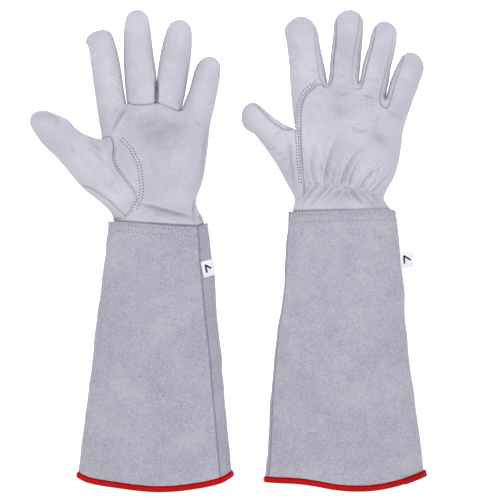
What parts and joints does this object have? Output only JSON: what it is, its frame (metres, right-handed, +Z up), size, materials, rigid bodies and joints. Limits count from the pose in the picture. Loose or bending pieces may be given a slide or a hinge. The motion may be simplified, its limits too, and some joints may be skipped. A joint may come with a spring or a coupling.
{
  "type": "gardening gloves",
  "caption": "Pair of long leather gauntlet gloves for pruning thorny plants, with soft grain leather hands, wide suede forearm cuffs and a bound hem.",
  "frame": {"origin": "middle of the pair on the table surface they lie on", "axes": "+Y towards the fingertips, +X from the left glove to the right glove, +Z up from the table"},
  "size_m": [0.3675, 0.4484, 0.0356],
  "materials": {
    "grain_leather": "smooth grain",
    "suede": "napped split leather",
    "binding": "woven binding",
    "satin": "satin ribbon",
    "elastic": "woven elastic"
  },
  "bodies": {
    "left_gauntlet": {"left_gauntlet_back_side": "suede", "left_gauntlet_palm_side": "suede", "left_hem_binding": "binding"},
    "left_hand": {"left_back_panel": "grain_leather", "left_palm_panel": "grain_leather", "left_thumb_gusset": "grain_leather", "left_thumb_root_back": "grain_leather", "left_thumb_root_front": "grain_leather", "left_wrist_elastic": "elastic"},
    "left_size_tab": {"left_size_tab": "satin"},
    "left_index": {"left_index_back": "grain_leather", "left_index_front": "grain_leather", "left_index_fourchettes": "grain_leather"},
    "left_middle": {"left_middle_back": "grain_leather", "left_middle_front": "grain_leather", "left_middle_fourchettes": "grain_leather"},
    "left_ring": {"left_ring_back": "grain_leather", "left_ring_front": "grain_leather", "left_ring_fourchettes": "grain_leather"},
    "left_little": {"left_little_back": "grain_leather", "left_little_front": "grain_leather", "left_little_fourchettes": "grain_leather"},
    "left_thumb": {"left_thumb_back": "grain_leather", "left_thumb_front": "grain_leather", "left_thumb_side_strips": "grain_leather"},
    "right_gauntlet": {"right_gauntlet_back_side": "suede", "right_gauntlet_palm_side": "suede", "right_hem_binding": "binding"},
    "right_hand": {"right_back_panel": "grain_leather", "right_palm_panel": "grain_leather", "right_thumb_gusset": "grain_leather", "right_thumb_root_back": "grain_leather", "right_thumb_root_front": "grain_leather", "right_wrist_elastic": "elastic"},
    "right_size_tab": {"right_size_tab": "satin"},
    "right_index": {"right_index_back": "grain_leather", "right_index_front": "grain_leather", "right_index_fourchettes": "grain_leather"},
    "right_middle": {"right_middle_back": "grain_leather", "right_middle_front": "grain_leather", "right_middle_fourchettes": "grain_leather"},
    "right_ring": {"right_ring_back": "grain_leather", "right_ring_front": "grain_leather", "right_ring_fourchettes": "grain_leather"},
    "right_little": {"right_little_back": "grain_leather", "right_little_front": "grain_leather", "right_little_fourchettes": "grain_leather"},
    "right_thumb": {"right_thumb_back": "grain_leather", "right_thumb_front": "grain_leather", "right_thumb_side_strips": "grain_leather"}
  },
  "joints": [
    {"name": "left_wrist_bend", "type": "hinge", "parent": "left_gauntlet", "child": "left_hand", "pos_m": [-0.0685, 0.0324, 0.013], "axis": [1, 0, 0], "range_deg": [0, 60]},
    {"name": "left_index_bend", "type": "hinge", "parent": "left_hand", "child": "left_index", "pos_m": [-0.1086, 0.1414, 0.011], "axis": [0.9858, 0.1682, 0], "range_deg": [0, 75]},
    {"name": "left_middle_bend", "type": "hinge", "parent": "left_hand", "child": "left_middle", "pos_m": [-0.0811, 0.1467, 0.011], "axis": [0.9992, 0.04, 0], "range_deg": [0, 75]},
    {"name": "left_ring_bend", "type": "hinge", "parent": "left_hand", "child": "left_ring", "pos_m": [-0.053, 0.143, 0.011], "axis": [0.9939, -0.1107, 0], "range_deg": [0, 75]},
    {"name": "left_little_bend", "type": "hinge", "parent": "left_hand", "child": "left_little", "pos_m": [-0.026, 0.1365, 0.011], "axis": [0.979, -0.2038, 0], "range_deg": [0, 75]},
    {"name": "left_thumb_bend", "type": "hinge", "parent": "left_hand", "child": "left_thumb", "pos_m": [-0.1295, 0.086, 0.011], "axis": [0.5659, 0.8245, 0], "range_deg": [0, 60]},
    {"name": "left_tab_flap", "type": "hinge", "parent": "left_gauntlet", "child": "left_size_tab", "pos_m": [-0.0256, -0.0103, 0.0248], "axis": [0.2283, -0.9736, 0], "range_deg": [0, 120], "stiffness_Nm_per_rad": 0.001},
    {"name": "right_wrist_bend", "type": "hinge", "parent": "right_gauntlet", "child": "right_hand", "pos_m": [0.1046, 0.0418, 0.007], "axis": [-1, 0, 0], "range_deg": [0, 60]},
    {"name": "right_index_bend", "type": "hinge", "parent": "right_hand", "child": "right_index", "pos_m": [0.0751, 0.1639, 0.005], "axis": [-0.9937, -0.1122, 0], "range_deg": [0, 75]},
    {"name": "right_middle_bend", "type": "hinge", "parent": "right_hand", "child": "right_middle", "pos_m": [0.1095, 0.1625, 0.005], "axis": [-0.9962, 0.0872, 0], "range_deg": [0, 75]},
    {"name": "right_ring_bend", "type": "hinge", "parent": "right_hand", "child": "right_ring", "pos_m": [0.1367, 0.1551, 0.005], "axis": [-0.9876, 0.1573, 0], "range_deg": [0, 75]},
    {"name": "right_little_bend", "type": "hinge", "parent": "right_hand", "child": "right_little", "pos_m": [0.1623, 0.1476, 0.005], "axis": [-0.973, 0.2308, 0], "range_deg": [0, 75]},
    {"name": "right_thumb_bend", "type": "hinge", "parent": "right_hand", "child": "right_thumb", "pos_m": [0.0496, 0.1024, 0.005], "axis": [-0.663, -0.7486, 0], "range_deg": [0, 60]},
    {"name": "right_tab_flap", "type": "hinge", "parent": "right_gauntlet", "child": "right_size_tab", "pos_m": [0.1618, -0.0014, 0.0139], "axis": [0.0741, -0.9973, 0], "range_deg": [-60, 60], "stiffness_Nm_per_rad": 0.001},
    {"name": "right_glove_lift", "type": "slide", "parent": "left_gauntlet", "child": "right_gauntlet", "axis": [0, 0, 1], "range_m": [0, 0.25]}
  ]
}
